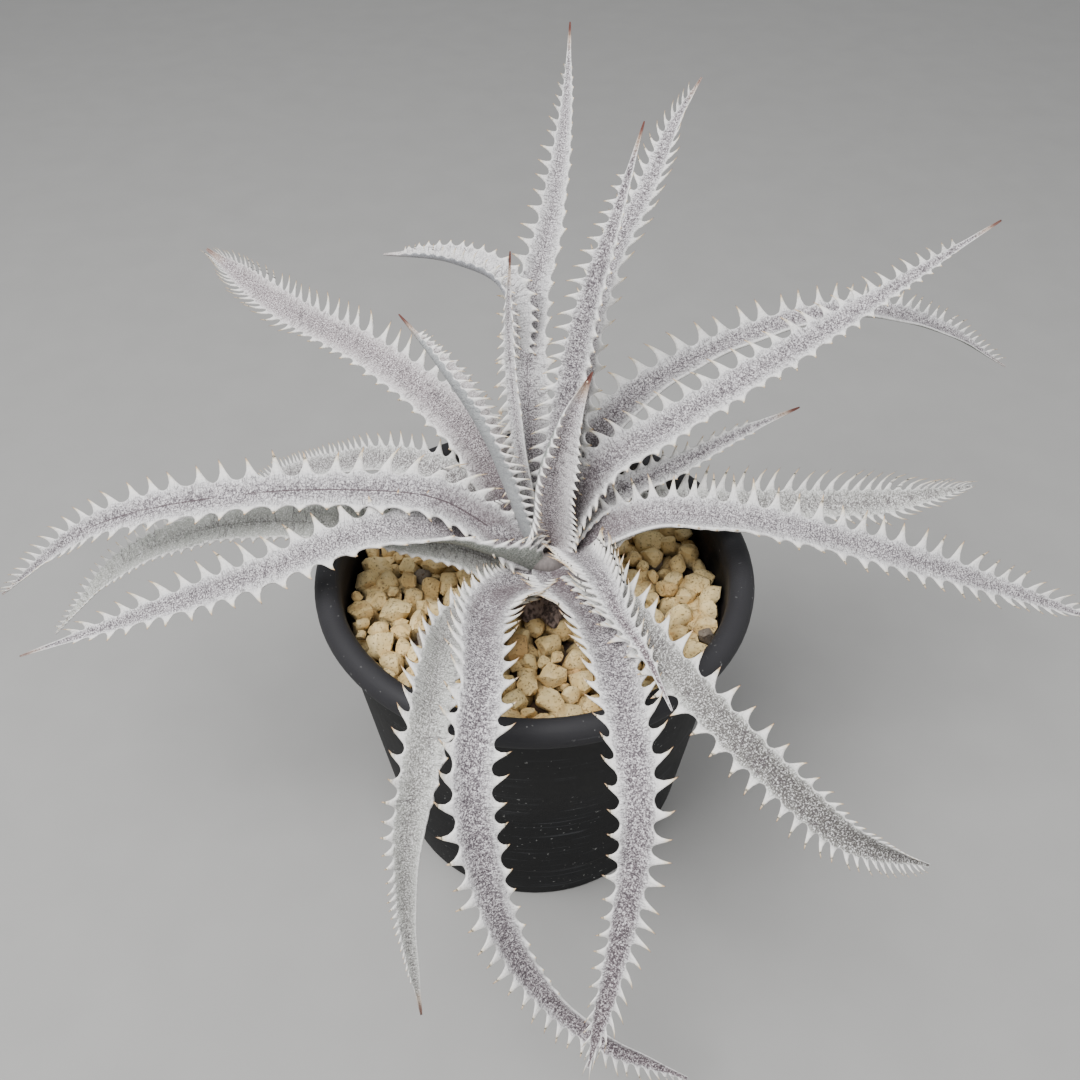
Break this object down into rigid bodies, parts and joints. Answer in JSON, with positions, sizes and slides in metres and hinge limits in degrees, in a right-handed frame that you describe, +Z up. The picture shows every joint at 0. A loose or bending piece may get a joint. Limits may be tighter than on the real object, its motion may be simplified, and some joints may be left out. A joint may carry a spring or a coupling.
{
  "type": "potted dyckia bromeliad",
  "caption": "Spiny silver dyckia rosette of arching toothed leaves, growing through a pumice top dressing in a round black nursery pot.",
  "frame": {"origin": "centre of the flat underside of the pot, on the surface it stands on", "axes": "+Z up along the pot's axis; +X to the right and +Y away, seen from the side that the two longest hanging leaves face"},
  "size_m": [0.3431, 0.2351, 0.2265],
  "materials": {
    "pot_plastic": "matte black moulded plastic with faint scuffs and dust",
    "potting_mix": "dark damp bark and peat mix",
    "pumice": "cream to tan pumice gravel, a few darker stones",
    "leaf_base": "pale sheathing leaf bases",
    "silver_leaf": "silver grey scurf with purple grey mottling, white margins and amber-tipped spines"
  },
  "bodies": {
    "root": {"pot": "pot_plastic", "potting_mix": "potting_mix", "pumice_dressing": "pumice", "stem_crown": "leaf_base", "leaf_short_front_right": "silver_leaf", "leaf_young_right": "silver_leaf", "leaf_young_left": "silver_leaf", "leaf_young_centre": "silver_leaf", "leaf_young_upper_right": "silver_leaf", "leaf_curled_back": "silver_leaf", "leaf_left_upper": "silver_leaf", "leaf_upper_right_rising": "silver_leaf", "leaf_back_right_inner": "silver_leaf", "leaf_back_tall": "silver_leaf", "leaf_right_lower": "silver_leaf", "leaf_lower_right": "silver_leaf", "leaf_front_right": "silver_leaf", "leaf_front": "silver_leaf", "leaf_left_lower": "silver_leaf", "leaf_back_left_long": "silver_leaf", "leaf_upper_right_drooping": "silver_leaf", "leaf_back_right_outer": "silver_leaf", "leaf_right_upper": "silver_leaf", "leaf_back_left_arch": "silver_leaf", "leaf_left_middle": "silver_leaf", "leaf_front_left": "silver_leaf"}
  },
  "joints": []
}
